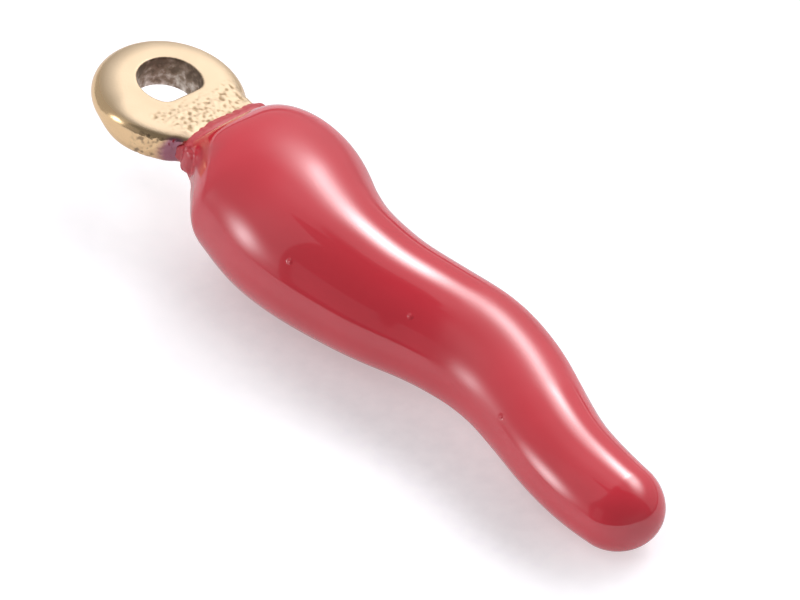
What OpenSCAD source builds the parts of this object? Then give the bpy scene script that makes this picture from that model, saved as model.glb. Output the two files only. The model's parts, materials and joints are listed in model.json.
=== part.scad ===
// Cornicello horn pendant. One metal casting is the eye, the neck and the core
// of the horn, and a red enamel coat covers the horn and the end of the neck.
// Lengths are in millimetres. The part lies as it rests on a table: +X runs from
// the eye to the tip, +Z is up, and the origin is under the middle of its box.

/* [Eye] */
// Outside diameter of the eye
eye_d = 3.55; // [3.2:0.05:4.2]
// Thickness of the eye, whose outer side is fully rounded
eye_t = 0.85; // [0.65:0.05:1.1]
// Diameter of the hole for a jump ring
bore_d = 1.4; // [1:0.1:1.8]
// Distance of the hole from the middle of the eye, away from the horn
bore_shift = 0.2; // [0:0.05:0.25]
// Distance of the hole to the side of the horn's outer bend
bore_side = 0.05; // [-0.1:0.05:0.15]
// Chamfer at both rims of the hole
rim_chamfer = 0.06; // [0.02:0.01:0.1]

/* [Neck] */
// Width of the neck where it leaves the eye
neck_w = 2.7; // [2.2:0.1:3]
// How far the faces of the neck lie below those of the eye
neck_drop = 0.03; // [0.01:0.01:0.08]
// Offset of the neck at the shoulder to the side of the horn's outer bend
neck_shift = 0.2; // [-0.1:0.05:0.25]
// Squareness of the neck's section, where 2 is an oval
neck_squareness = 4; // [2:0.5:6]

/* [Horn] */
// Distance from the middle of the eye to the front of the horn's shoulder
shoulder_x = 1.68; // [1.6:0.02:2.4]
// Length of the horn from its shoulder to its tip
horn_l = 14.75; // [12:0.05:18]
// Width of the horn at its belly
belly_w = 4.24; // [3.6:0.02:5]
// Thickness of the horn at its belly
belly_t = 3.68; // [3.2:0.02:4.2]
// How far the horn swings out to the side at its outer bend
sway = 0.65; // [0.45:0.05:1.2]
// Radius of the hollow between the neck and the shoulder
fillet_r = 0.25; // [0.1:0.05:0.5]

/* [Enamel] */
// Thickness of the enamel over the horn
enamel_t = 0.25; // [0.15:0.05:0.4]
// Thickness of the enamel at its edge on the neck
enamel_edge_t = 0.1; // [0.08:0.01:0.2]
// Distance from the middle of the eye to the edge of the enamel
enamel_x = 1.5; // [1.3:0.02:1.6]
// Gap between the metal and the enamel
enamel_gap = 0.03; // [0.02:0.01:0.06]

/* [Hidden] */

// Columns of the tables: all are in both, apart from the thickness
along = 0;
width = 1;
side = 2;
thick = 3;

// Sections of the horn, from its shoulder to its tip. Along is the place as a
// share of horn_l, width a share of belly_w, side a share of sway, and thick a
// share of belly_t.
HORN = [
    [0.00, 1.000,  0.00, 1.038],
    [0.05, 1.028,  0.10, 1.025],
    [0.09, 1.048,  0.15, 1.000],
    [0.12, 1.030,  0.10, 0.978],
    [0.16, 0.993, -0.08, 0.986],
    [0.20, 0.960, -0.36, 0.996],
    [0.24, 0.918, -0.50, 0.965],
    [0.28, 0.866, -0.54, 0.923],
    [0.32, 0.818, -0.48, 0.879],
    [0.40, 0.752, -0.14, 0.805],
    [0.48, 0.700,  0.49, 0.749],
    [0.56, 0.680,  0.96, 0.728],
    [0.64, 0.633,  0.91, 0.678],
    [0.72, 0.580,  0.48, 0.621],
    [0.80, 0.545,  0.04, 0.583],
    [0.88, 0.526, -0.09, 0.563],
    [1.00, 0.478,  0.08, 0.512]
];
belly_row = 4;
tip_row = len(HORN) - 1;

// Sections of the neck. Along is the place as a share of shoulder_x, width a
// share of neck_w, and side a share of neck_shift.
NECK = [
    [0.42, 0.68, 0.00],
    [0.64, 0.98, 0.05],
    [0.76, 0.93, 0.40],
    [0.83, 0.87, 0.75],
    [0.89, 0.83, 0.90],
    [0.95, 0.78, 1.00],
    [1.00, 0.76, 1.00],
    [1.50, 0.76, 1.00]
];
neck_from = NECK[0][along] * shoulder_x;

// Places of the three sections that the horn rests on, as shares of horn_l
REST = [0.20, 0.61, 0.905];

// Layers that the sections are worked out for: over is what each adds to the bare
// neck, and inset how deep it lies under the surface of the horn.
over = 0;
inset = 1;
OUTSIDE = [enamel_edge_t, 0];
INSIDE = [enamel_gap, enamel_t - enamel_gap];
METAL = [0, enamel_t];

belly_x = shoulder_x + HORN[belly_row][along] * horn_l;
tip_x = shoulder_x + horn_l;
tip_r = HORN[tip_row][width] * belly_w / 2;

// Points round a section, and sections along the bare neck, the shoulder, the body
// and the tip
round_n = 36;
neck_n = 5;
shoulder_n = 15;
body_n = 22;
tip_n = 7;
exact_fn = 96;

// Reach to both sides for the direction of the middle line, and rounds of setting the
// part on its feet
near_by = 0.5;
settle_rounds = 4;

// Smooth curve through one column of a table
function row_at(table, x) = max([for (i = [0 : len(table) - 2]) if (i == 0 || table[i][along] <= x) i]);
function slope(table, i, column) = i == 0 || i == len(table) - 1 ? 0
    : (table[i + 1][column] - table[i - 1][column]) / (table[i + 1][along] - table[i - 1][along]);
function smooth(table, x, column) =
    let (i = row_at(table, x), step = table[i + 1][along] - table[i][along],
         f = min(max((x - table[i][along]) / step, 0), 1))
    table[i][column] * (1 + 2 * f) * pow(1 - f, 2) + table[i + 1][column] * (3 - 2 * f) * f * f
    + step * f * (1 - f) * (slope(table, i, column) * (1 - f) - slope(table, i + 1, column) * f);

// The larger of two lengths, rounded where they meet
function fillet_max(a, b) =
    let (near = max(fillet_r - abs(a - b), 0)) max(a, b) + near * near / (4 * fillet_r);

// Round ends of the horn: 1 on its body, down to 0 at the shoulder's front and at the tip
function arc(d, r) = d <= 0 ? 1 : d >= r ? 0 : sqrt(1 - pow(d / r, 2));
function shoulder_arc(x, depth) = arc(belly_x - x, belly_x - shoulder_x - depth);
function tip_arc(x, depth) = arc(x - (tip_x - tip_r), tip_r - depth);

// Half width and half thickness of a layer at x, each from its column and full size
function horn_at(x, column) = smooth(HORN, (x - shoulder_x) / horn_l, column);
function horn_half(x, layer, column, size) = (horn_at(x, column) * size / 2 - layer[inset])
    * shoulder_arc(x, layer[inset]) * tip_arc(x, layer[inset]);
function with_neck(x, layer, neck_half, horn) =
    x >= belly_x ? horn : fillet_max(neck_half + layer[over], horn);
function neck_at(x, column) = smooth(NECK, x / shoulder_x, column);
function half_w(x, layer) =
    with_neck(x, layer, neck_at(x, width) * neck_w / 2, horn_half(x, layer, width, belly_w));
function half_t(x, layer) =
    with_neck(x, layer, eye_t / 2 - neck_drop, horn_half(x, layer, thick, belly_t));

// Middle line in the plane of the eye, its direction, and the squareness on it
function middle_y(x) = neck_shift * neck_at(x, side) * (1 - shoulder_arc(x, 0))
    + sway * horn_at(x, side);
function turn(x) = x < shoulder_x ? 0
    : atan((middle_y(x + near_by) - middle_y(x - near_by)) / (2 * near_by)) * shoulder_arc(x, 0);
function squareness(x) = 2 + (neck_squareness - 2) * pow(1 - shoulder_arc(x, 0), 2);

function across(x) = [-sin(turn(x)), cos(turn(x)), 0];
function middle(x) = [x, middle_y(x), 0];
function bend(c, power) = sign(c) * pow(abs(c), power);
function section(x, layer) =
    let (w = half_w(x, layer), t = half_t(x, layer), power = 2 / squareness(x))
    [for (i = [0 : round_n - 1]) let (a = 360 * i / round_n)
        middle(x) + across(x) * w * bend(cos(a), power) + [0, 0, t * bend(sin(a), power)]];

// Places of the sections: close together where the shoulder rises and at the tip.
// All layers share them, so that no facet reaches into the next layer.
neck_places = [for (i = [0 : neck_n - 1]) neck_from + (enamel_x - neck_from) * i / neck_n];
function horn_places(depth) = concat(
    [for (i = [0 : shoulder_n - 1]) enamel_x + (belly_x - enamel_x) * (1 - cos(90 * i / shoulder_n))],
    [for (i = [0 : body_n - 1]) belly_x + (tip_x - tip_r - belly_x) * i / body_n],
    [for (i = [0 : tip_n - 1]) tip_x - tip_r + (tip_r - depth) * sin(90 * i / tip_n)]);
function skin(places, layer) = [for (x = places) section(x, layer)];
function horn_skin(layer) = skin(horn_places(layer[inset]), layer);
function tip_point(layer) = middle(tip_x - layer[inset]);

// Triangles between neighbouring rings of points, where start is the first point's number
function band(start, next) = [for (i = [0 : round_n - 1]) let (j = (i + 1) % round_n)
    each [[start + i, next + i, next + j], [start + i, next + j, start + j]]];
function bands(start, rings) = [for (k = [0 : rings - 2])
    each band(start + k * round_n, start + (k + 1) * round_n)];
function fan(start, point) = [for (i = [0 : round_n - 1]) [start + i, point, start + (i + 1) % round_n]];
function flip(faces) = [for (f = faces) [f[2], f[1], f[0]]];
function flat(rings) = [for (r = rings) each r];

// How the part lies: up is the direction away from the table in the horn's own frame,
// square to the plane through the three feet
function foot(x, up) =
    let (a = half_w(x, OUTSIDE) * (up * across(x)), b = half_t(x, OUTSIDE) * up.z)
    middle(x) - (half_w(x, OUTSIDE) * a * across(x) + half_t(x, OUTSIDE) * b * [0, 0, 1]) / norm([a, b]);
function unit(v) = v / norm(v);
function lying(up, rounds) = rounds < 1 ? up
    : let (feet = [for (share = REST) foot(shoulder_x + share * horn_l, up)])
      lying(unit(cross(feet[2] - feet[0], feet[1] - feet[0])), rounds - 1);
up = lying([0, 0, 1], settle_rounds);
roll = atan2(up.y, up.z);
pitch = -asin(up.x);

// Rows of the turn from the horn's own frame to the frame of the part
x_row = [cos(pitch), sin(pitch) * sin(roll), sin(pitch) * cos(roll)];
y_row = [0, cos(roll), -sin(roll)];
z_row = [-sin(pitch), cos(pitch) * sin(roll), cos(pitch) * cos(roll)];
coat_points = flat(horn_skin(OUTSIDE));
function eye_reach(d) = (eye_d - eye_t) / 2 * norm([d.x, d.y]) + eye_t / 2;
function reach(d) = max(eye_reach(d), max([for (p = coat_points) p * d]));
function middle_of(d) = (reach(d) - reach(-d)) / 2;
place = [-middle_of(x_row), -middle_of(y_row), reach(-z_row)];

module lie_down() {
    translate(place) rotate([roll, pitch, 0]) children();
}

// Flat round eye with a fully rounded outer side, before its hole
module eye_disc() {
    rotate_extrude($fn = exact_fn) {
        translate([eye_d / 2 - eye_t / 2, 0]) circle(d = eye_t, $fn = exact_fn);
        translate([0, -eye_t / 2]) square([eye_d / 2 - eye_t / 2, eye_t]);
    }
}

// What is taken out for the hole: the bore and a chamfer at each rim
module eye_hole() {
    translate([-bore_shift, bore_side, 0]) {
        cylinder(d = bore_d, h = 2 * eye_t, center = true, $fn = exact_fn);
        for (face = [0, 1]) mirror([0, 0, face])
            translate([0, 0, eye_t / 2 - rim_chamfer])
                cylinder(d1 = bore_d, d2 = bore_d + 4 * rim_chamfer, h = 2 * rim_chamfer, $fn = exact_fn);
    }
}

// Neck and core of the horn, closed at both ends
module neck_and_core() {
    rings = concat(skin(neck_places, METAL), horn_skin(METAL));
    last = (len(rings) - 1) * round_n;
    polyhedron(
        points = concat(flat(rings), [tip_point(METAL)]),
        faces = concat(bands(0, len(rings)), fan(last, last + round_n),
                       [[for (i = [0 : round_n - 1]) i]]),
        convexity = 6);
}

module casting() {
    color("goldenrod") lie_down() difference() {
        union() {
            eye_disc();
            neck_and_core();
        }
        eye_hole();
    }
}

// Skin with an outer and an inner surface, joined at its edge on the neck
module enamel_coat() {
    outer = horn_skin(OUTSIDE);
    inner = horn_skin(INSIDE);
    first = len(outer) * round_n + 1;
    outer_last = first - 1 - round_n;
    inner_last = first + (len(inner) - 1) * round_n;
    color("firebrick") lie_down() polyhedron(
        points = concat(flat(outer), [tip_point(OUTSIDE)], flat(inner), [tip_point(INSIDE)]),
        faces = concat(bands(0, len(outer)), fan(outer_last, first - 1),
                       flip(bands(first, len(inner))), flip(fan(inner_last, inner_last + round_n)),
                       flip(band(0, first))),
        convexity = 8);
}

casting();
enamel_coat();
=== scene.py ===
# Cornicello horn pendant: finer forms and the finish of the gold-tone eye and of the red enamel, in the
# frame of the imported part, whose two solids they replace.
# Lengths in the dictionaries are in millimetres, in the horn's own axes: along from the middle of the eye to
# the tip, side towards the outer bend, and face out of the flat eye.
import json
import math

import bpy
import bmesh
import numpy as np
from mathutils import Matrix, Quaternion, Vector, noise


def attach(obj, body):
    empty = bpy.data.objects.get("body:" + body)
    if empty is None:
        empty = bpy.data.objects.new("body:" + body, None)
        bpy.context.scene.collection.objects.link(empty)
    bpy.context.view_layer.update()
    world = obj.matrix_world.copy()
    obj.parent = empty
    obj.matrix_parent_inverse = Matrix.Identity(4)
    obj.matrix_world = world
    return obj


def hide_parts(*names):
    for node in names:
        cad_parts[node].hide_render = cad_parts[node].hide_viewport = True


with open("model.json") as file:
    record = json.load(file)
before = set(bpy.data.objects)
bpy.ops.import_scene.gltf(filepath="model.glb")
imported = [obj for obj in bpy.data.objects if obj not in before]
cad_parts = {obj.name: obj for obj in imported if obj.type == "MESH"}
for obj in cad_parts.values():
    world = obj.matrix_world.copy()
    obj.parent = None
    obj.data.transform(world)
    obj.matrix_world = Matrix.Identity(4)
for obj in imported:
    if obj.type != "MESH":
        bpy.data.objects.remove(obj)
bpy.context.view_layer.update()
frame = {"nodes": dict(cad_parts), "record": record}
print("frame loaded:", sorted(frame["nodes"]))

mm = 0.001

# The horn's own axes in the frame, from the hole that the record gives
eyeHole = next(m for m in frame["record"]["mounts"] if m["name"] == "eye_hole")
holeShift = 0.2   # the bore lies this far from the middle of the eye, away from the horn
holeSide = 0.05   # and this far towards the outer bend
faceDir = Vector(eyeHole["axis"]).normalized()
alongDir = Vector((faceDir.z, 0, -faceDir.x)).normalized()
sideDir = faceDir.cross(alongDir)
eyeMiddle = Vector(eyeHole["pos_m"]) + (alongDir * holeShift - sideDir * holeSide) * mm
ownAxes = np.array([alongDir, sideDir, faceDir])


def toFrame(points):
    return np.array(eyeMiddle) + mm * (np.asarray(points) @ ownAxes)


def makeObject(name, points, faces, material, smooth=True):
    mesh = bpy.data.meshes.new(name)
    mesh.from_pydata(np.asarray(points).tolist(), [], faces)
    mesh.validate()
    mesh.update()
    made = bpy.data.objects.new(name, mesh)
    bpy.context.scene.collection.objects.link(made)
    mesh.polygons.foreach_set("use_smooth", [smooth] * len(mesh.polygons))
    if material:
        mesh.materials.append(material)
    return made


def setNumbers(made, name, values):
    # a number for each point, which the materials read
    layer = made.data.attributes.new(name, "FLOAT", "POINT")
    layer.data.foreach_set("value", np.asarray(values, np.float32))


def step(low, high, x):
    # rises smoothly from 0 to 1 between two places, or falls where the larger one comes first
    s = np.clip((x - low) / (high - low), 0, 1)
    return s * s * (3 - 2 * s)


# Form of the horn

horn = {
    "shoulderAt": 1.68,      # front of the shoulder
    "length": 14.75,         # from the shoulder to the tip
    "bellyWidth": 4.24,
    "bellyThickness": 3.68,
    "bellyShare": 0.16,      # where the shoulder ends, as a share of the length
    "sway": 0.65,            # how far the outer bend swings out
    "fillet": 0.25,          # hollow between the neck and the shoulder
    "softness": 0.27,        # stretch over which its bends are averaged
    "softFrom": (2.2, 3.4),  # the averaging of width and thickness fades in here, past the shoulder's front
    "leanReach": 0.5,        # half the stretch that gives the direction of the middle line
    "enamel": 0.25,          # thickness of the coat on the horn
    # share of the length, width as a share of the belly's, swing as a share of the sway, thickness as a
    # share of the belly's
    "sections": [
        (0.00, 1.000, 0.00, 1.038), (0.05, 1.028, 0.10, 1.025), (0.09, 1.048, 0.15, 1.000),
        (0.12, 1.030, 0.10, 0.978), (0.16, 0.993, -0.08, 0.986), (0.20, 0.960, -0.36, 0.996),
        (0.24, 0.918, -0.50, 0.965), (0.28, 0.866, -0.54, 0.923), (0.32, 0.818, -0.48, 0.879),
        (0.40, 0.752, -0.14, 0.805), (0.48, 0.700, 0.49, 0.749), (0.56, 0.680, 0.96, 0.728),
        (0.64, 0.633, 0.91, 0.678), (0.72, 0.580, 0.48, 0.621), (0.80, 0.545, 0.04, 0.583),
        (0.88, 0.526, -0.09, 0.563), (1.00, 0.478, 0.08, 0.512)],
}
neck = {
    "thickness": 0.79,
    "squareness": 7,
    # place along, near side, far side
    "sections": [
        (0.70, -1.25, 1.25), (1.07, -1.31, 1.33), (1.28, -1.17, 1.33), (1.39, -1.02, 1.32),
        (1.50, -0.94, 1.30), (1.60, -0.85, 1.25), (1.68, -0.83, 1.23), (2.52, -0.83, 1.23)],
}


def curveThrough(rows, x, column):
    # smooth curve through one column of a table whose first column is the place
    table = np.array(rows)
    at, value = table[:, 0], table[:, column]
    slope = np.zeros(len(at))
    slope[1:-1] = (value[2:] - value[:-2]) / (at[2:] - at[:-2])
    i = np.clip(np.searchsorted(at, x, side="right") - 1, 0, len(at) - 2)
    span = at[i + 1] - at[i]
    f = np.clip((x - at[i]) / span, 0, 1)
    return (value[i] * (1 + 2 * f) * (1 - f) ** 2 + value[i + 1] * (3 - 2 * f) * f ** 2
            + span * f * (1 - f) * (slope[i] * (1 - f) - slope[i + 1] * f))


def softened(curve, x, spread):
    # a curve averaged over a short stretch, so that its bends run smoothly into each other
    parts = [(k / 2, math.exp(-0.5 * (k / 2) ** 2)) for k in range(-4, 5)]
    return sum(weight * curve(x + k * spread) for k, weight in parts) / sum(weight for _, weight in parts)


def hornCurve(x, column):
    return curveThrough(horn["sections"], (x - horn["shoulderAt"]) / horn["length"], column)


bellyAt = horn["shoulderAt"] + horn["bellyShare"] * horn["length"]
tipAt = horn["shoulderAt"] + horn["length"]
tipRadius = horn["sections"][-1][1] * horn["bellyWidth"] / 2


def roundEnd(distance, reach):
    return np.sqrt(np.clip(1 - (np.clip(distance, 0, None) / reach) ** 2, 0, 1))


def shoulderRise(x, inset):
    return roundEnd(bellyAt - x, bellyAt - horn["shoulderAt"] - inset)


def hornHalf(x, inset, column, size):
    # half the width or half the thickness, each from its column and full size
    def plain(at):
        return (hornCurve(at, column) * size / 2 - inset) * shoulderRise(at, inset)
    half = softened(plain, x, horn["softness"] * step(*horn["softFrom"], x))
    return half * roundEnd(x - (tipAt - tipRadius), tipRadius - inset)


def filletMax(a, b):
    near = np.clip(horn["fillet"] - np.abs(a - b), 0, None)
    return np.maximum(a, b) + near ** 2 / (4 * horn["fillet"])


def sectionAt(x, over, inset):
    # half width, half thickness, middle and squareness of the section at x
    nearSide = curveThrough(neck["sections"], x, 1)
    farSide = curveThrough(neck["sections"], x, 2)
    rise = shoulderRise(x, 0)
    width, thick = hornHalf(x, inset, 1, horn["bellyWidth"]), hornHalf(x, inset, 3, horn["bellyThickness"])
    width = np.where(x < bellyAt, filletMax((farSide - nearSide) / 2 + over, width), width)
    thick = np.where(x < bellyAt, filletMax(neck["thickness"] / 2 + over, thick), thick)
    swing = softened(lambda at: hornCurve(at, 2), x, horn["softness"])
    middle = (farSide + nearSide) / 2 * (1 - rise) + horn["sway"] * swing
    square = 2 + (neck["squareness"] - 2) * (1 - rise) ** 2
    return width, thick, middle, square


def lean(x):
    # direction of the middle line, as an angle from the along axis
    d = horn["leanReach"]
    slope = horn["sway"] * (hornCurve(x + d, 2) - hornCurve(x - d, 2)) / (2 * d)
    return np.arctan(slope) * shoulderRise(x, 0)


def hornPoints(x, angle, over, inset):
    # points of the surface, for arrays of places and angles of the same shape
    width, thick, middle, square = sectionAt(x, over, inset)
    c, s = np.cos(angle), np.sin(angle)
    radius = (np.abs(c) ** square + np.abs(s) ** square) ** (-1 / square)
    tilt = lean(x)
    return np.stack([x - np.sin(tilt) * width * radius * c,
                     middle + np.cos(tilt) * width * radius * c,
                     thick * radius * s], axis=-1)


def stations(start, inset, shoulderCount, bodyCount, tipCount):
    # places along the horn for each starting place: close together at the shoulder and the tip
    shoulder = 1 - np.cos(np.radians(90 * np.arange(shoulderCount) / shoulderCount))
    body = np.arange(bodyCount) / bodyCount
    end = np.sin(np.radians(90 * np.arange(tipCount) / tipCount))
    start = np.atleast_1d(start)[None, :]
    bodyEnd = tipAt - tipRadius
    return np.concatenate([start + (bellyAt - start) * shoulder[:, None],
                           np.repeat((bellyAt + (bodyEnd - bellyAt) * body)[:, None], start.shape[1], 1),
                           np.repeat((bodyEnd + (tipRadius - inset) * end)[:, None], start.shape[1], 1)])


def ringFaces(rings, around, start=0, flip=False):
    faces = []
    for k in range(rings - 1):
        a, b = start + k * around, start + (k + 1) * around
        for i in range(around):
            j = (i + 1) % around
            quad = (a + i, a + j, b + j, b + i)
            faces.append(quad[::-1] if flip else quad)
    return faces


def capFaces(start, around, point, flip=False):
    faces = [(start + i, start + (i + 1) % around, point) for i in range(around)]
    return [f[::-1] for f in faces] if flip else faces


# Form of the casting: the eye, fused with the neck

eye = {
    "diameter": 3.55,
    "thickness": 0.85,
    "holeMiddle": (-0.14, 0.06),
    "holeRadius": 0.75,
    "holeFlat": 0.42,        # straight side of the hole, towards the horn
    "holeCorner": 0.13,      # rounding where the straight side meets the round one
    "edgeWide": 0.62,        # width of the rounded edge
    "cornerAt": -55,         # degrees round from the horn, where the edge is sharper
    "cornerSpread": (0.62, 0.98),   # cosines of the angle from there, where it begins and is in full
    "cornerWide": 0.36,
    "cornerSquare": 3.4,
    "rimRound": 0.05,
    "seam": 0.05,            # rounding between the eye and the neck
    "endRound": 0.05,        # rounding of the neck's hidden ends
    "voxel": 0.03,
    "neckTo": 2.15,          # where the eye and neck end inside the core of the horn
}


def softMax(a, b, k):
    h = np.clip(k - np.abs(a - b), 0, None)
    return np.maximum(a, b) + h * h / (4 * k)


def holeDistance(x, y):
    # distance from the wall of the hole, seen from above: less than nothing inside the hole
    roundSide = np.hypot(x - eye["holeMiddle"][0], y - eye["holeMiddle"][1]) - eye["holeRadius"]
    return softMax(roundSide, x - eye["holeFlat"], eye["holeCorner"])


def discDistance(x, y, z):
    half = eye["thickness"] / 2
    corner = step(*eye["cornerSpread"], np.cos(np.arctan2(y, x) - math.radians(eye["cornerAt"])))
    wide = eye["edgeWide"] + (eye["cornerWide"] - eye["edgeWide"]) * corner
    n = 2 + (eye["cornerSquare"] - 2) * corner
    outward = np.clip(np.hypot(x, y) - (eye["diameter"] / 2 - wide), 0, None) / wide
    return ((outward ** n + (np.abs(z) / half) ** n) ** (1 / n) - 1) * np.minimum(wide, half)


def castingDistance(p):
    x, y, z = p[:, 0], p[:, 1], p[:, 2]
    disc = discDistance(x, y, z)
    half, thick, middle, n = sectionAt(x, 0, horn["enamel"])
    reach = ((np.abs(y - middle) / half) ** n + (np.abs(z) / thick) ** n) ** (1 / n)
    bar = (reach - 1) * np.minimum(half, thick)
    ends = softMax(x - eye["neckTo"], neck["sections"][0][0] - x, eye["endRound"])
    bar = softMax(bar, ends, eye["endRound"])
    body = -softMax(-disc, -bar, eye["seam"])
    return softMax(body, -holeDistance(x, y), eye["rimRound"])


slopeReach = 0.004     # mm to either side, for the slope of the distance
leastSlope = 0.2       # squared, so that flat spots don't send points far away
farthestMove = 0.03    # mm that a point moves in one round


def castingSlope(points):
    d = slopeReach
    return np.stack([(castingDistance(points + d * e) - castingDistance(points - d * e)) / (2 * d)
                     for e in np.eye(3)], axis=1)


def settle(points, rounds=8):
    # moves each point onto the surface of the casting
    for _ in range(rounds):
        slope = castingSlope(points)
        size = np.clip((slope ** 2).sum(1), leastSlope, None)
        move = np.clip(castingDistance(points) / size, -farthestMove, farthestMove)
        points = points - move[:, None] * slope
    size = np.linalg.norm(slope, axis=1, keepdims=True)
    return points, slope / np.clip(size, 1e-6, None)


def castNoise(points, size, shift):
    return np.array([noise.noise(Vector(p)) for p in (points / size + shift)])


def liftOff(points, height, rounds=4):
    # moves the points that lie too close to the casting out to their height over it
    for _ in range(rounds):
        slope = castingSlope(points)
        size = np.clip((slope ** 2).sum(1), leastSlope, None)
        short = np.clip(height - castingDistance(points), 0, farthestMove)
        points = points + (short / size)[:, None] * slope
    return points


# Materials

def nodeMaterial(name):
    material = bpy.data.materials.new(name)
    material.use_nodes = True
    tree = material.node_tree
    return material, tree.nodes, tree.links, tree.nodes["Principled BSDF"]


def addNode(nodes, kind, settings=None, **inputs):
    made = nodes.new(kind)
    for key, value in (settings or {}).items():
        setattr(made, key, value)
    for key, value in inputs.items():
        made.inputs[key.replace("_", " ")].default_value = value
    return made


def colourRamp(nodes, stops):
    ramp = nodes.new("ShaderNodeValToRGB")
    ramp.color_ramp.elements.remove(ramp.color_ramp.elements[1])
    for i, (place, colour) in enumerate(stops):
        stop = ramp.color_ramp.elements[0] if i == 0 else ramp.color_ramp.elements.new(place)
        stop.position = place
        stop.color = (*colour, 1)
    return ramp


goldLook = {
    "polished": (0.86, 0.61, 0.35),       # rounded outer side and lip
    "satinAndShade": (0.69, 0.55, 0.39),          # flat faces: satin, and darker as painted shade against the strong light that falls on them
    "pitShade": (0.38, 0.27, 0.16),
    "pitStrength": 2.4,                   # how soon a pit takes on its darker colour, which is painted shade
    "paintedRedReflection": (0.40, 0.18, 0.23),          # painted reflection of the red enamel, mauve, on the near wall of the neck
    "wallTop": (0.25, 0.19, 0.14),        # inside of the hole, which isn't polished and is darker partly as oxide, partly as painted shade: dark at the top, brown between, and pale in its streaks
    "wall": (0.43, 0.335, 0.26),          # brown between, and pale in its streaks
    "wallStreak": (0.90, 0.84, 0.76),
    "wallStops": (0.40, 0.56, 0.76),      # levels of the streaks' noise for these three colours
    "streakSize": 0.20,                   # mm
    "polishedRoughness": 0.20,
    "satinRoughness": 0.60,
    "toneSize": 0.9,                      # mm, faint clouds of tone
    "cloudTint": (0.93, 0.92, 0.90),      # by which the darkest clouds multiply the colour
    "grainSize": 0.06,                    # mm, the finest grain
    "grainDepth": 0.006,
    "grainStrength": 0.35,
}


def readNumber(nodes, name):
    return addNode(nodes, "ShaderNodeAttribute", {"attribute_name": name}).outputs["Fac"]


def mixColours(nodes, links, share, first, second):
    mix = addNode(nodes, "ShaderNodeMix", {"data_type": "RGBA"})
    for name, value in (("Factor", share), ("A", first), ("B", second)):
        if isinstance(value, tuple):
            mix.inputs[name].default_value = (*value, 1)
        else:
            links.new(value, mix.inputs[name])
    return mix.outputs["Result"]


def noiseAt(nodes, links, place, size, detail):
    made = addNode(nodes, "ShaderNodeTexNoise", Scale=1 / (size * mm), Detail=detail)
    links.new(place, made.inputs["Vector"])
    return made.outputs["Fac"]


def mathNode(nodes, links, operation, *values):
    made = addNode(nodes, "ShaderNodeMath", {"operation": operation})
    for socket, value in zip(made.inputs, values):
        if isinstance(value, (int, float)):
            socket.default_value = value
        else:
            links.new(value, socket)
    return made.outputs[0]


def addBump(nodes, links, shader, height, strength, depth):
    bump = addNode(nodes, "ShaderNodeBump", Strength=strength, Distance=depth * mm)
    links.new(height, bump.inputs["Height"])
    links.new(bump.outputs["Normal"], shader.inputs["Normal"])


def makeGold():
    material, nodes, links, shader = nodeMaterial("goldTone")
    shader.inputs["Metallic"].default_value = 1
    place = addNode(nodes, "ShaderNodeTexCoord").outputs["Object"]
    # the satin colour of the flat faces is partly painted shade, darker than the polished gold
    satinAndShade = readNumber(nodes, "satinAndShade")
    tone = mixColours(nodes, links, satinAndShade, goldLook["polished"], goldLook["satinAndShade"])
    clouds = colourRamp(nodes, [(0.3, goldLook["cloudTint"]), (0.7, (1.0, 1.0, 1.0))])
    links.new(noiseAt(nodes, links, place, goldLook["toneSize"], 3.0), clouds.inputs["Fac"])
    clouded = addNode(nodes, "ShaderNodeMix", {"data_type": "RGBA", "blend_type": "MULTIPLY"}, Factor=1.0)
    links.new(tone, clouded.inputs["A"])
    links.new(clouds.outputs["Color"], clouded.inputs["B"])
    # painted shade darkens the pits
    pitShare = mathNode(nodes, links, "MULTIPLY", readNumber(nodes, "pits"), goldLook["pitStrength"])
    withPitShade = mixColours(nodes, links, pitShare, clouded.outputs["Result"], goldLook["pitShade"])
    # painted reflection of the red enamel on the near wall of the neck
    withRedReflection = mixColours(nodes, links, readNumber(nodes, "paintedRedReflection"), withPitShade, goldLook["paintedRedReflection"])
    # inside of the hole: oxide with painted shade
    wallColours = [goldLook[name] for name in ("wallTop", "wall", "wallStreak")]
    wallTone = colourRamp(nodes, list(zip(goldLook["wallStops"], wallColours)))
    streaks = noiseAt(nodes, links, place, goldLook["streakSize"], 4.0)
    links.new(mathNode(nodes, links, "ADD", streaks, readNumber(nodes, "wallLow")), wallTone.inputs["Fac"])
    whole = mixColours(nodes, links, readNumber(nodes, "wall"), withRedReflection, wallTone.outputs["Color"])
    links.new(whole, shader.inputs["Base Color"])
    roughness = addNode(nodes, "ShaderNodeMapRange", To_Min=goldLook["polishedRoughness"],
                        To_Max=goldLook["satinRoughness"])
    links.new(mathNode(nodes, links, "MAXIMUM", satinAndShade, readNumber(nodes, "wall")), roughness.inputs["Value"])
    links.new(roughness.outputs["Result"], shader.inputs["Roughness"])
    grain = noiseAt(nodes, links, place, goldLook["grainSize"], 2.0)
    addBump(nodes, links, shader, grain, goldLook["grainStrength"], goldLook["grainDepth"])
    return material


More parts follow.
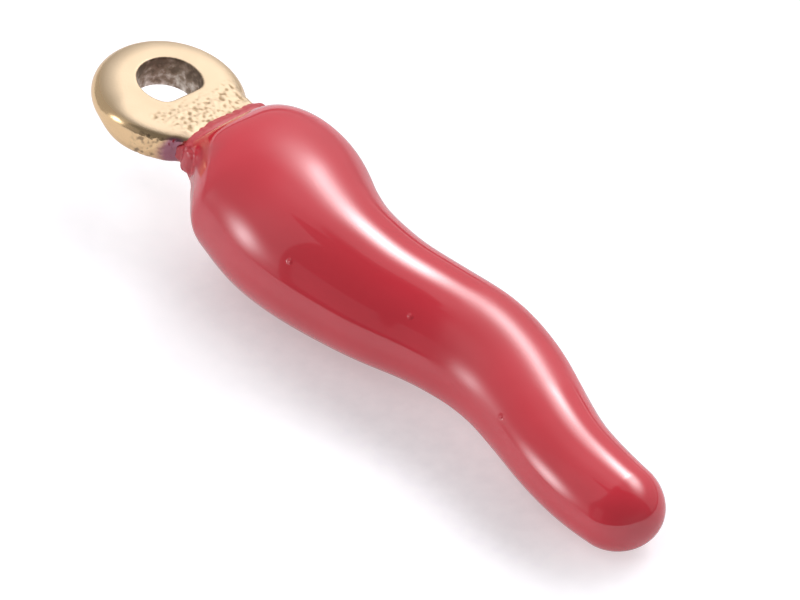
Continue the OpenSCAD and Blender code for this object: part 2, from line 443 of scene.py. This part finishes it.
enamelLook = {
    "colour": (0.62, 0.024, 0.043),
    "deepColour": (0.57, 0.020, 0.036),
    "thinColour": (0.50, 0.060, 0.072),   # where the coat thins out over the neck
    "roughness": 0.05,                    # of the gloss
    "dullRoughness": 0.30,                # of the thin film and, in part, of the stretches below
    # places in mm along or to the side: each pair says where a stretch fades in, or where it fades out
    "thinEnds": (1.62, 2.0),
    "cornerThinness": 0.8,                # near corner, kept from mirroring the gold beside it
    "cornerSide": (-0.9, -1.15),
    "cornerEnds": (3.0, 2.3),
    "topDullness": 0.85,                  # two stretches of the top and the far side
    "topSide": (-1.3, -0.7),
    "topStretches": [((2.4, 3.4), (7.4, 5.6)), ((9.0, 9.8), (13.0, 12.2))],
    "shoulderDullness": 0.45,             # all round the shoulder
    "shoulderStretch": ((2.4, 3.4), (5.7, 4.8)),
    "thinGloss": 0.22,                    # specular level of the thin film, where 0.5 is full
    "refraction": 1.8,
    "toneSize": 2.5,                      # mm, faint clouds of tone
    "waveSize": 1.6,                      # mm, soft waves of the poured surface
    "waveDepth": 0.002,
    "speckSize": 0.09,                    # mm, tiny beads in the surface, and where they are
    "speckHeight": 0.025,
    "specks": [(6.18, -1.88, 0.82), (9.01, -0.78, 0.92), (12.2, -0.8, 0.49)],
}


def makeEnamel():
    material, nodes, links, shader = nodeMaterial("redEnamel")
    roughness = addNode(nodes, "ShaderNodeMapRange", To_Min=enamelLook["roughness"],
                        To_Max=enamelLook["dullRoughness"])
    links.new(readNumber(nodes, "dull"), roughness.inputs["Value"])
    links.new(roughness.outputs["Result"], shader.inputs["Roughness"])
    gloss = addNode(nodes, "ShaderNodeMapRange", To_Min=0.5, To_Max=enamelLook["thinGloss"])
    links.new(readNumber(nodes, "thin"), gloss.inputs["Value"])
    links.new(gloss.outputs["Result"], shader.inputs["Specular IOR Level"])
    shader.inputs["IOR"].default_value = enamelLook["refraction"]
    place = addNode(nodes, "ShaderNodeTexCoord").outputs["Object"]
    tone = colourRamp(nodes, [(0.35, enamelLook["deepColour"]), (0.65, enamelLook["colour"])])
    links.new(noiseAt(nodes, links, place, enamelLook["toneSize"], 3.0), tone.inputs["Fac"])
    thin = readNumber(nodes, "thin")
    whole = mixColours(nodes, links, thin, tone.outputs["Color"], enamelLook["thinColour"])
    links.new(whole, shader.inputs["Base Color"])
    waves = noiseAt(nodes, links, place, enamelLook["waveSize"], 2.0)
    height = mathNode(nodes, links, "MULTIPLY", waves, enamelLook["waveDepth"])
    for speck in enamelLook["specks"]:
        away = addNode(nodes, "ShaderNodeVectorMath", {"operation": "DISTANCE"})
        links.new(place, away.inputs[0])
        away.inputs[1].default_value = toFrame(speck)
        bead = addNode(nodes, "ShaderNodeMapRange", {"interpolation_type": "SMOOTHSTEP"}, From_Min=0.0,
                       From_Max=enamelLook["speckSize"] * mm, To_Min=enamelLook["speckHeight"], To_Max=0.0)
        links.new(away.outputs["Value"], bead.inputs["Value"])
        height = mathNode(nodes, links, "ADD", height, bead.outputs["Result"])
    addBump(nodes, links, shader, height, 1.0, 1.0)
    return material


gold = makeGold()
enamel = makeEnamel()
print("materials made")

# The enamel coat

coat = {
    "pointsAround": 256,
    "outerRings": (70, 110, 36),   # on the shoulder, the body and the tip
    "innerRings": (24, 40, 12),
    "edgeAt": 1.40,          # edge of the coat on the flat of the neck
    "edgeSkew": 0.15,        # how much further along it lies at the near corner
    "skewFrom": (0.1, 0.8),  # from where to where it moves there, as shares of the way to the near side
    "wallAt": 1.42,          # edge on the near wall of the neck
    "wallFrom": (0.86, 0.96),
    "edgeSection": 4,        # row of the neck's sections nearest to the edge
    "edgeThickness": 0.10,
    "filmThickness": 0.012,  # at the very edge
    "edgeRound": 0.20,       # length over which the edge thins out
    "grainSize": 0.11,
    "grainDepth": 0.035,     # how ragged the edge is
    "grainHalf": 0.5,        # half the height of the neck, as the ragged edge's noise takes it
    "grainPlace": 7.3,       # which part of the noise it takes
    "calm": 0.7,             # by how much the edge is less ragged on the near wall, and from where
    "calmFrom": (0.80, 0.90),
    "filmTo": 2.0,           # the film is kept clear of the metal up to here
    "liftShare": 0.7,        # its least height over the metal: a share of its thickness and a little more
    "liftLeast": 0.01,
    "waveSize": 0.12,        # bumps of the thin film
    "waveDepth": 0.018,
    "wavesEnd": (2.0, 1.7),  # where they fade out along the neck
    "wavesAbove": (0.15, 0.35),   # and where they fade in upwards
    "gap": 0.03,
    "edgeGap": 0.004,        # gap at the edge, where the film meets the metal
}


def edgePlace(angle):
    # where the coat begins, for each angle round the neck
    _, nearSide, farSide = neck["sections"][coat["edgeSection"]]
    half = (farSide - nearSide) / 2
    nearShare = -np.cos(angle)
    flatEdge = coat["edgeAt"] + coat["edgeSkew"] * step(*coat["skewFrom"], nearShare)
    edge = flatEdge + (coat["wallAt"] - flatEdge) * step(*coat["wallFrom"], nearShare)
    size = coat["grainSize"]
    ragged = []
    for a in angle:
        across, upward = math.cos(a) * half / size, math.sin(a) * coat["grainHalf"] / size
        ragged.append(noise.noise(Vector((across, upward, coat["grainPlace"]))))
    calmness = 1 - coat["calm"] * step(*coat["calmFrom"], nearShare)
    return edge + coat["grainDepth"] * np.array(ragged) * calmness


def outerSkin(angle, start):
    # places along and points of the outside, where the thin film lies over the metal in small bumps
    x = stations(start, 0, *coat["outerRings"])
    fade = np.sqrt(step(0, coat["edgeRound"], x - start[None, :]))
    over = coat["filmThickness"] + (coat["edgeThickness"] - coat["filmThickness"]) * fade
    outer = hornPoints(x, np.repeat(angle[None, :], len(x), 0), over, 0)
    film = x < coat["filmTo"]
    waves = coat["waveDepth"] * castNoise(outer[film], coat["waveSize"], 4.0)
    waves = waves * step(*coat["wavesEnd"], x[film]) * fade[film]
    waves = waves * step(*coat["wavesAbove"], outer[film][:, 2])
    height = over[film] * coat["liftShare"] + coat["liftLeast"] + waves
    outer[film] = liftOff(outer[film], height)
    return x, outer


def innerSkin(angle, start, inset):
    x = stations(start, inset, *coat["innerRings"])
    fade = step(0, coat["edgeRound"], x - start[None, :])
    over = coat["edgeGap"] + (coat["gap"] - coat["edgeGap"]) * fade
    return x, hornPoints(x, np.repeat(angle[None, :], len(x), 0), over, inset)


def stretch(x, fadeIn, fadeOut):
    return step(*fadeIn, x) * step(*fadeOut, x)


def thinAndDull(x, side):
    # how thin and how dull the outside is at each of its points
    look = enamelLook
    nearCorner = look["cornerThinness"] * step(*look["cornerSide"], side) * step(*look["cornerEnds"], x)
    thin = np.maximum(1 - step(*look["thinEnds"], x), nearCorner)
    dull = np.maximum(*[stretch(x, *ends) for ends in look["topStretches"]])
    dull = dull * step(*look["topSide"], side) * look["topDullness"]
    dull = np.maximum(dull, stretch(x, *look["shoulderStretch"]) * look["shoulderDullness"])
    return thin, np.maximum(thin, dull)


def buildCoat():
    around = coat["pointsAround"]
    angle = 2 * math.pi * np.arange(around) / around
    start = edgePlace(angle)
    inset = horn["enamel"] - coat["gap"]
    x, outer = outerSkin(angle, start)
    xIn, inner = innerSkin(angle, start, inset)
    tipY = sectionAt(np.array([tipAt]), 0, 0)[2][0]
    points = np.concatenate([outer.reshape(-1, 3), [[tipAt, tipY, 0]],
                             inner.reshape(-1, 3), [[tipAt - inset, tipY, 0]]])
    first = len(x) * around + 1
    faces = ringFaces(len(x), around, 0) + capFaces((len(x) - 1) * around, around, first - 1)
    faces += ringFaces(len(xIn), around, first, flip=True)
    faces += capFaces(first + (len(xIn) - 1) * around, around, len(points) - 1, flip=True)
    faces += [(i, first + i, first + (i + 1) % around, (i + 1) % around) for i in range(around)]
    made = makeObject("enamelSkin", toFrame(points), faces, enamel)
    for name, values in zip(("thin", "dull"), thinAndDull(x, outer[..., 1])):
        setNumbers(made, name, np.concatenate([values.ravel(), [0], np.zeros(xIn.size), [0]]))
    return made


coatPiece = buildCoat()
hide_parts("enamel_coat")
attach(coatPiece, "root")
print("enamel coat:", len(coatPiece.data.polygons), "faces")

# The casting: the eye and the neck in one, with the core of the horn under the enamel

rough = {
    "pointsAround": 96,
    "edgeStep": 15,          # degrees between the rings of the eye's rounded side
    "neckSlices": 40,
    "leastCosine": 0.01,     # a ray closer to square than this never meets the straight side of the hole
    "farAway": 9,            # mm, past any wall
}
turnRound = 2 * math.pi * np.arange(rough["pointsAround"]) / rough["pointsAround"]


def outwards(piece):
    # turns the faces of a closed mesh to its outside
    bm = bmesh.new()
    bm.from_mesh(piece.data)
    bmesh.ops.recalc_face_normals(bm, faces=bm.faces)
    bm.to_mesh(piece.data)
    bm.free()
    return piece


def roughEye():
    around, a = rough["pointsAround"], turnRound
    middle = np.array(eye["holeMiddle"])
    flatAt = (eye["holeFlat"] - middle[0]) / np.clip(np.cos(a), 1e-3, None)
    flatAt = np.where(np.cos(a) > rough["leastCosine"], flatAt, rough["farAway"])
    hole = np.minimum(eye["holeRadius"], flatAt)
    rim = middle + np.stack([np.cos(a), np.sin(a)], 1) * hole[:, None]
    h = eye["thickness"] / 2
    flatRadius = eye["diameter"] / 2 - h
    rings = [np.c_[rim, np.full(around, -h)], np.c_[rim, np.full(around, h)]]
    for t in np.radians(np.arange(90, -91, -rough["edgeStep"])):
        radius = flatRadius + h * math.cos(t)
        rings.append(np.c_[radius * np.cos(a), radius * np.sin(a), np.full(around, h * math.sin(t))])
    faces = ringFaces(len(rings), around)
    last = (len(rings) - 1) * around
    faces += [(last + i, last + (i + 1) % around, (i + 1) % around, i) for i in range(around)]
    return outwards(makeObject("roughEye", toFrame(np.concatenate(rings)), faces, None))


def roughNeck():
    around = rough["pointsAround"]
    x = np.linspace(neck["sections"][0][0], eye["neckTo"], rough["neckSlices"])
    x = np.repeat(x[:, None], around, 1)
    points = hornPoints(x, np.repeat(turnRound[None, :], len(x), 0), 0, horn["enamel"]).reshape(-1, 3)
    faces = ringFaces(len(x), around)
    faces += [tuple(range(around))[::-1], tuple(range(len(points) - around, len(points)))]
    return outwards(makeObject("roughNeck", toFrame(points), faces, None))


def applied(piece, kind, settings):
    # adds one modifier and makes its result the mesh
    modifier = piece.modifiers.new(kind.lower(), kind)
    for key, value in settings.items():
        setattr(modifier, key, value)
    shown = piece.evaluated_get(bpy.context.evaluated_depsgraph_get())
    mesh = bpy.data.meshes.new_from_object(shown)
    piece.modifiers.clear()
    old = piece.data
    piece.data = mesh
    bpy.data.meshes.remove(old)


def drop(piece):
    mesh = piece.data
    bpy.data.objects.remove(piece)
    bpy.data.meshes.remove(mesh)


castTexture = {
    # each pair says from where to where something fades in or out: places in mm, and facing as the share
    # of the normal that points out of the flat eye
    "flatAlong": (0.45, 0.80),    # the texture lies between the hole and the enamel
    "flatFacing": (0.80, 0.95),
    "flatFromHole": (0.02, 0.12),
    "lipSide": (-1.10, -0.86),    # nearer than this the neck has a smooth lip, which slants
    "lipSlant": 0.35,
    "lipAlong": 1.0,              # where the lip is as far to the side as given
    "underFilm": (1.48, 1.38),    # the metal is plain from here on, under the enamel
    "raggedSize": 0.5,            # how ragged these limits are
    "raggedDepth": 0.12,
    "wallAlong": (0.55, 0.80),    # near wall of the neck
    "wallSide": (-0.8, -1.0),
    "wallFacing": (0.60, 0.35),
    "grainSize": 0.09,
    "grainDepth": 0.013,
    "pitSize": 0.09,
    "pitDepth": 0.020,
    "pitShare": 0.05,             # noise level above which there is a pit
    "holeFrom": (0.07, 0.01),     # inside of the hole: distance from its wall, and facing
    "holeFacing": (0.97, 0.80),
    "holeFace": (0.42, 0.30),     # its bumps fade out towards both faces of the eye
    "holeDepth": 0.022,
    "holeBumps": (0.16, 0.07),    # sizes of the large and the small ones
    "smallShare": 0.5,
    "holeStretch": 0.45,          # by which the large ones are drawn out through the hole
    "streakFade": (0.30, -0.25),  # pale streaks become more frequent downwards
    "streakRise": 0.20,
    "streakTop": -0.07,
    "redReflectionAlong": (1.12, 1.34),   # painted mauve reflection of the red enamel on the near wall
    "redReflectionFacing": (0.85, 0.55),
    "satinAndShadeFacing": (0.70, 0.99),  # the flat faces are satin, with a darker colour as painted shade, the rounded sides polished
}


def texturePoints(points, normals):
    # moves the points in and out along their normals, and returns the numbers that the material reads
    t = castTexture
    x, y, z = points.T
    steep = np.abs(normals[:, 2])
    fromHole = holeDistance(x, y)
    ragged = t["raggedDepth"] * castNoise(points, t["raggedSize"], 3.1)
    lip = step(*t["lipSide"], y - t["lipSlant"] * (x - t["lipAlong"]))
    flatArea = step(*t["flatAlong"], x + ragged) * step(*t["flatFacing"], steep) * lip
    flatArea = flatArea * step(*t["flatFromHole"], fromHole)
    nearSide = step(*t["wallSide"], y)
    nearWall = step(*t["wallAlong"], x) * nearSide * step(*t["wallFacing"], normals[:, 2])
    area = np.clip(flatArea + nearWall, 0, 1) * step(*t["underFilm"], x)
    grain = castNoise(points, t["grainSize"], 0.0)
    pits = np.clip(castNoise(points, t["pitSize"], 17.0) - t["pitShare"], 0, None)
    depth = area * (t["grainDepth"] * grain - t["pitDepth"] * pits)
    inHole = step(*t["holeFrom"], fromHole) * step(*t["holeFacing"], steep)
    large, small = t["holeBumps"]
    bumps = castNoise(points * np.array([1, 1, t["holeStretch"]]), large, 31.0)
    bumps = bumps + t["smallShare"] * castNoise(points, small, 5.0)
    depth = depth + inHole * step(*t["holeFace"], np.abs(z)) * t["holeDepth"] * bumps
    paintedRedReflection = step(*t["redReflectionAlong"], x + ragged) * nearSide * step(*t["redReflectionFacing"], normals[:, 2])
    numbers = {
        "wall": inHole,
        "satinAndShade": np.clip(step(*t["satinAndShadeFacing"], steep) + flatArea, 0, 1),
        "pits": area * pits,
        "paintedRedReflection": paintedRedReflection,
        "wallLow": t["streakRise"] * step(*t["streakFade"], z) + t["streakTop"],
    }
    return points + normals * depth[:, None], numbers


def fromFrame(points):
    return (np.asarray(points) - np.array(eyeMiddle)) @ ownAxes.T / mm


def meshPoints(piece):
    co = np.zeros(len(piece.data.vertices) * 3)
    piece.data.vertices.foreach_get("co", co)
    return co.reshape(-1, 3)


core = {
    "pointsAround": 64,
    "rings": (14, 40, 10),
    "gap": 0.02,             # how far it lies inside the metal of the CAD, all round and at the shoulder
}


def buildCore():
    # plain core of the horn, which the enamel hides
    around = core["pointsAround"]
    angle = 2 * math.pi * np.arange(around) / around
    inset = horn["enamel"] + core["gap"]
    start = np.full(around, horn["shoulderAt"] + inset + core["gap"])
    x = stations(start, inset, *core["rings"])
    points = hornPoints(x, np.repeat(angle[None, :], len(x), 0), 0, inset)
    tipY = sectionAt(np.array([tipAt]), 0, 0)[2][0]
    points = np.concatenate([points.reshape(-1, 3), [[tipAt - inset, tipY, 0]]])
    faces = ringFaces(len(x), around) + capFaces((len(x) - 1) * around, around, len(points) - 1)
    return makeObject("core", toFrame(points), faces + [tuple(range(around))[::-1]], gold)


def buildCasting():
    # plain eye and neck, which a voxel remesh joins before the points settle on the real form
    eyeMesh, neckMesh = roughEye(), roughNeck()
    applied(eyeMesh, "BOOLEAN", {"operation": "UNION", "object": neckMesh, "solver": "EXACT"})
    drop(neckMesh)
    applied(eyeMesh, "REMESH", {"mode": "VOXEL", "voxel_size": eye["voxel"] * mm})
    points, normals = settle(fromFrame(meshPoints(eyeMesh)))
    points, numbers = texturePoints(points, normals)
    eyeMesh.data.vertices.foreach_set("co", toFrame(points).ravel())
    eyeMesh.data.update()
    eyeMesh.name = "goldEye"
    eyeMesh.data.materials.clear()
    eyeMesh.data.materials.append(gold)
    for name, values in numbers.items():
        setNumbers(eyeMesh, name, values)
    coreMesh = buildCore()
    applied(eyeMesh, "BOOLEAN", {"operation": "UNION", "object": coreMesh, "solver": "MANIFOLD"})
    drop(coreMesh)
    eyeMesh.data.polygons.foreach_set("use_smooth", [True] * len(eyeMesh.data.polygons))
    return eyeMesh


castingPiece = buildCasting()
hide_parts("casting")
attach(castingPiece, "root")
print("casting:", len(castingPiece.data.polygons), "faces")

# Floor, light and camera

studio = {
    "floorSize": 3000,
    "floorColour": (0.57, 0.56, 0.575),
    "floorGrain": (0.52, 0.51, 0.53),
    "grainSize": 0.4,        # mm, of the paper
    "paperRoughness": 0.9,
    "paperGloss": 0.2,       # specular level, where 0.5 is full
    "azimuth": 46.52,        # degrees round from the front, towards the tip
    "elevation": 42.47,
    "roll": 3.71,            # degrees by which the camera is turned about its own view
    "distance": 279.44,
    "aim": (0.791, -0.068, 1.929),
    "lens": 567,
    "sensor": 36,
    "clip": (0.01, 10),      # m, the nearest and the farthest that the camera sees
    "tint": (0.98, 0.98, 1.0),
    "ambient": 0.2,
    # lights of the surroundings: azimuth from the frame's x axis, elevation, half width and half height in
    # degrees, how sharp the edges are, and strength
    "lights": [
        (98, 47.5, 34, 12.5, 2.4, 6.0),   # large soft light behind the horn
        (113, 46, 6, 9.5, 2.0, 7.0),      # its bright middle
        (110, 34, 50, 26, 2.0, 0.35),     # wide glow round it, and one above
        (150, 72, 60, 12, 2.0, 0.4),
        (240, 7, 9, 11, 2.0, 5.4),        # small light on the near side
        (0, -5, 30, 25, 4.0, 0.12),       # faint glow past the tip
        (244, 30, 20, 50, 2.0, 0.15),     # wide glow over the small light
        (135, 41, 93, 41, 200.0, 0.28),   # pale areas with sharp edges
        (243, 34.5, 15, 34.5, 200.0, 0.28),
        (229, -5.5, 29, 5, 60.0, 0.28),
        (274, 13, 11.5, 16, 40.0, 0.14),
        (108, -0.5, 40, 1.5, 2.0, 0.7)],  # thin bright line low behind the horn
    "glow": 0.45,             # of the paper, as the horn gets it
    "openGlow": 0.62,         # as the camera sees it, away from the horn and, darker as a painted shadow, close to it
    "paintedShadowGlow": 0.36,
    # the painted shadow on the paper, as the camera sees it:
    "paintedShadowNear": (-3.6, -1.6),   # mm, from where to where it sinks for the camera on the near side,
    "paintedShadowFar": (-1, 1.5),       # and likewise on the far side, past the eye and past the tip
    "paintedShadowEye": (-6.5, -2.8),
    "paintedShadowTip": (6, 10),
    "paperNear": (-14, -11),  # mm, from where to where the lit paper fades in on the near side
    "paperFar": (14, 18),     # and where it ends on the far side
    "nearShare": 0.70,        # share of the glow that the horn gets on either side
    "farShare": 0.45,
    "shareFrom": (-4, 8),     # mm, from where to where one passes into the other
    "fillPower": 0.22,
    "fillSize": 200,          # mm
    "fillFrom": (-40, -150, 230),
}


def cameraSees(nodes):
    return addNode(nodes, "ShaderNodeLightPath").outputs["Is Camera Ray"]


def makeWorld():
    # each light is a soft patch of the surroundings; the backdrop itself is plain white to the camera
    world = bpy.data.worlds.new("studio")
    bpy.context.scene.world = world
    world.use_nodes = True
    nodes, links = world.node_tree.nodes, world.node_tree.links

    def calc(operation, *values):
        return mathNode(nodes, links, operation, *values)

    place = addNode(nodes, "ShaderNodeTexCoord")
    split = addNode(nodes, "ShaderNodeSeparateXYZ")
    links.new(place.outputs["Generated"], split.inputs[0])
    x, y, z = split.outputs
    height = calc("ARCSINE", z)
    total = studio["ambient"]
    for azimuth, elevation, across, upward, sharpness, strength in studio["lights"]:
        c, s = math.cos(math.radians(azimuth)), math.sin(math.radians(azimuth))
        ahead = calc("MULTIPLY_ADD", x, c, calc("MULTIPLY", y, s))
        aside = calc("MULTIPLY_ADD", y, c, calc("MULTIPLY", x, -s))
        turned = calc("DIVIDE", calc("ABSOLUTE", calc("ARCTAN2", aside, ahead)), math.radians(across))
        raised = calc("SUBTRACT", height, math.radians(elevation))
        raised = calc("DIVIDE", calc("ABSOLUTE", raised), math.radians(upward))
        fall = calc("ADD", calc("POWER", turned, sharpness), calc("POWER", raised, sharpness))
        bell = calc("EXPONENT", calc("MULTIPLY", fall, -1.0))
        total = calc("MULTIPLY_ADD", bell, strength, total)
    background = nodes["Background"]
    background.inputs["Color"].default_value = (*studio["tint"], 1)
    links.new(total, background.inputs["Strength"])
    white = addNode(nodes, "ShaderNodeBackground", Strength=1.0)
    white.inputs["Color"].default_value = (1, 1, 1, 1)
    mix = addNode(nodes, "ShaderNodeMixShader")
    links.new(cameraSees(nodes), mix.inputs[0])
    links.new(background.outputs[0], mix.inputs[1])
    links.new(white.outputs[0], mix.inputs[2])
    links.new(mix.outputs[0], nodes["World Output"].inputs["Surface"])


def makeFloor():
    # softly glowing paper: a strip in the reflections, while to the camera it has no end and carries a
    # painted shadow, darker close to the horn
    size = studio["floorSize"] / 2 * mm
    corners = [(-size, -size, 0), (size, -size, 0), (size, size, 0), (-size, size, 0)]
    material, nodes, links, shader = nodeMaterial("paper")
    place = addNode(nodes, "ShaderNodeTexCoord").outputs["Object"]
    tone = colourRamp(nodes, [(0.3, studio["floorGrain"]), (0.7, studio["floorColour"])])
    links.new(noiseAt(nodes, links, place, studio["grainSize"], 3.0), tone.inputs["Fac"])
    links.new(tone.outputs["Color"], shader.inputs["Base Color"])
    shader.inputs["Roughness"].default_value = studio["paperRoughness"]
    shader.inputs["Specular IOR Level"].default_value = studio["paperGloss"]
    shader.inputs["Emission Color"].default_value = (*studio["tint"], 1)
    split = addNode(nodes, "ShaderNodeSeparateXYZ")
    links.new(place, split.inputs[0])

    def along(axis, low, high, first, last):
        # a number that changes smoothly between two places
        made = addNode(nodes, "ShaderNodeMapRange", {"interpolation_type": "SMOOTHSTEP"},
                       From_Min=low * mm, From_Max=high * mm, To_Min=first, To_Max=last)
        links.new(split.outputs[axis], made.inputs["Value"])
        return made.outputs["Result"]

    def calc(operation, *values):
        return mathNode(nodes, links, operation, *values)

    def between(axis, first, last):
        # 1 between two fades, each from its first to its second place
        return calc("MULTIPLY", along(axis, *studio[first], 0.0, 1.0), along(axis, *studio[last], 1.0, 0.0))

    seen = cameraSees(nodes)
    # painted shadow: the glow that the camera sees sinks close to the horn
    paintedShadowArea = calc("MULTIPLY", between("Y", "paintedShadowNear", "paintedShadowFar"), between("X", "paintedShadowEye", "paintedShadowTip"))
    paintedShadow = calc("MULTIPLY", paintedShadowArea, studio["paintedShadowGlow"] - studio["openGlow"])
    shown = calc("ADD", paintedShadow, studio["openGlow"])
    share = along("Y", *studio["shareFrom"], studio["nearShare"], studio["farShare"])
    lit = calc("MULTIPLY", share, studio["glow"])
    glow = calc("MULTIPLY_ADD", calc("SUBTRACT", shown, lit), seen, lit)
    links.new(glow, shader.inputs["Emission Strength"])
    strip = between("Y", "paperNear", "paperFar")
    mix = addNode(nodes, "ShaderNodeMixShader")
    links.new(calc("MAXIMUM", strip, seen), mix.inputs[0])
    links.new(nodes.new("ShaderNodeBsdfTransparent").outputs[0], mix.inputs[1])
    links.new(shader.outputs[0], mix.inputs[2])
    links.new(mix.outputs[0], nodes["Material Output"].inputs["Surface"])
    floor = makeObject("floor", corners, [(0, 1, 2, 3)], material, smooth=False)


def makeFill():
    # large faint light on the near side, kept out of the gloss
    data = bpy.data.lights.new("fill", "AREA")
    data.energy = studio["fillPower"]
    data.size = studio["fillSize"] * mm
    fill = bpy.data.objects.new("fill", data)
    bpy.context.scene.collection.objects.link(fill)
    fill.location = Vector(studio["fillFrom"]) * mm
    fill.rotation_mode = "QUATERNION"
    fill.rotation_quaternion = (-fill.location).to_track_quat("-Z", "Y")
    fill.visible_glossy = False


def makeCamera():
    data = bpy.data.cameras.new("camera")
    data.lens, data.sensor_width = studio["lens"], studio["sensor"]
    a, e = math.radians(studio["azimuth"]), math.radians(studio["elevation"])
    back = Vector((math.sin(a) * math.cos(e), -math.cos(a) * math.cos(e), math.sin(e)))
    camera = bpy.data.objects.new("camera", data)
    bpy.context.scene.collection.objects.link(camera)
    camera.location = (Vector(studio["aim"]) + back * studio["distance"]) * mm
    camera.rotation_mode = "QUATERNION"
    turned = Quaternion((0, 0, 1), math.radians(studio["roll"]))
    camera.rotation_quaternion = (-back).to_track_quat("-Z", "Y") @ turned
    data.clip_start, data.clip_end = studio["clip"]
    bpy.context.scene.camera = camera


makeWorld()
makeFloor()
makeFill()
makeCamera()
bpy.context.scene.view_settings.view_transform = "Standard"
print("studio ready")
